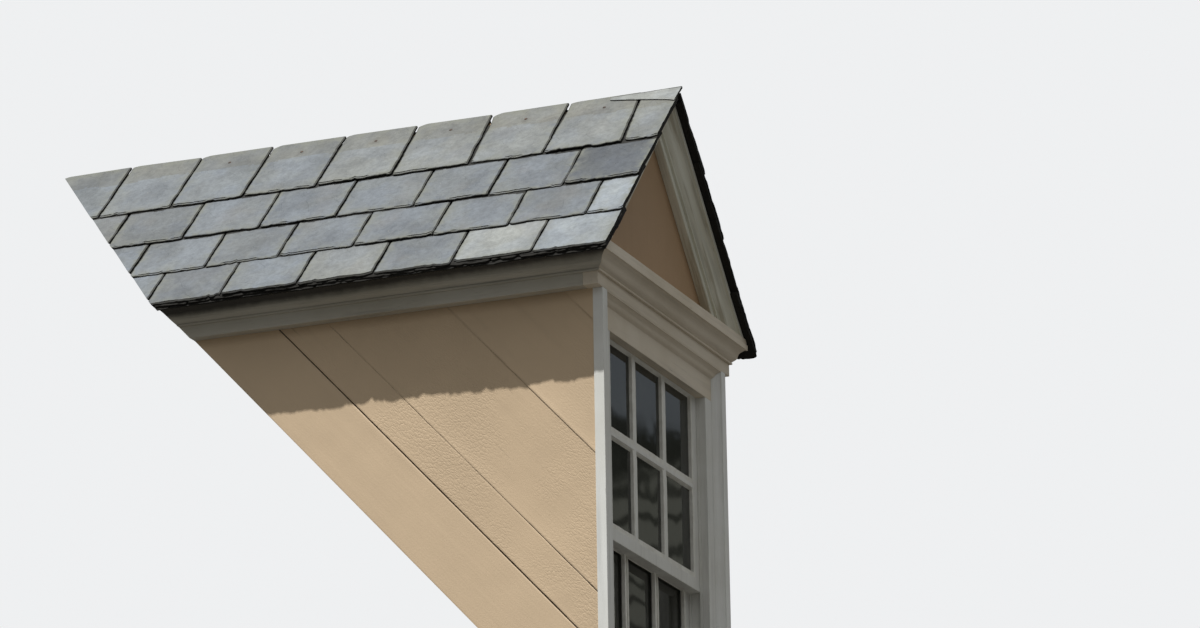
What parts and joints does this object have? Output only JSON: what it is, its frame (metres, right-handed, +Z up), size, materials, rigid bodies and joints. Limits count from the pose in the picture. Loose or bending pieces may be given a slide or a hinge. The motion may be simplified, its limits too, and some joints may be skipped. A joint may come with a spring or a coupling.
{
  "type": "gabled roof dormer with a double-hung window",
  "caption": "Gabled timber dormer for a steep roof: slated roof, pedimented front cornice, diagonal-boarded cheeks and a barred double-hung window.",
  "frame": {"origin": "centre of the underside of the front sole, under the window sill", "axes": "+X to the right seen from the front, +Y back into the roof, +Z up"},
  "size_m": [1.116, 1.8508, 1.96],
  "materials": {
    "timber": "rough sawn, aged",
    "cheek_paint": "old beige oil paint, alligatored",
    "slate": "natural cleft slate, weathered",
    "white_paint": "weathered white oil paint",
    "glass": "old window glass over a dark room"
  },
  "bodies": {
    "root": {"front_sole": "timber", "left_side_sole": "timber", "right_side_sole": "timber", "left_corner_post": "timber", "right_corner_post": "timber", "window_header": "timber", "left_cheek_studs": "timber", "right_cheek_studs": "timber", "left_top_plate": "timber", "right_top_plate": "timber", "ridge_board": "timber", "left_rafters": "timber", "right_rafters": "timber", "gable_stud": "timber", "left_roof_boards": "timber", "right_roof_boards": "timber", "left_cheek_boards": "cheek_paint", "right_cheek_boards": "cheek_paint", "tympanum": "cheek_paint", "left_slates": "slate", "right_slates": "slate", "window_sill": "white_paint", "left_jamb": "white_paint", "right_jamb": "white_paint", "head_jamb": "white_paint", "parting_bead": "white_paint", "inner_stop": "white_paint", "left_casing": "white_paint", "right_casing": "white_paint", "head_casing": "white_paint", "left_backband": "white_paint", "right_backband": "white_paint", "upper_sash": "white_paint", "lower_sash": "white_paint", "front_frieze": "white_paint", "left_frieze": "white_paint", "right_frieze": "white_paint", "front_crown": "white_paint", "left_crown": "white_paint", "right_crown": "white_paint", "cornice_wash": "white_paint", "left_raking_fascia": "white_paint", "right_raking_fascia": "white_paint", "left_raking_crown": "white_paint", "right_raking_crown": "white_paint", "upper_glass": "glass", "lower_glass": "glass"}
  },
  "joints": []
}
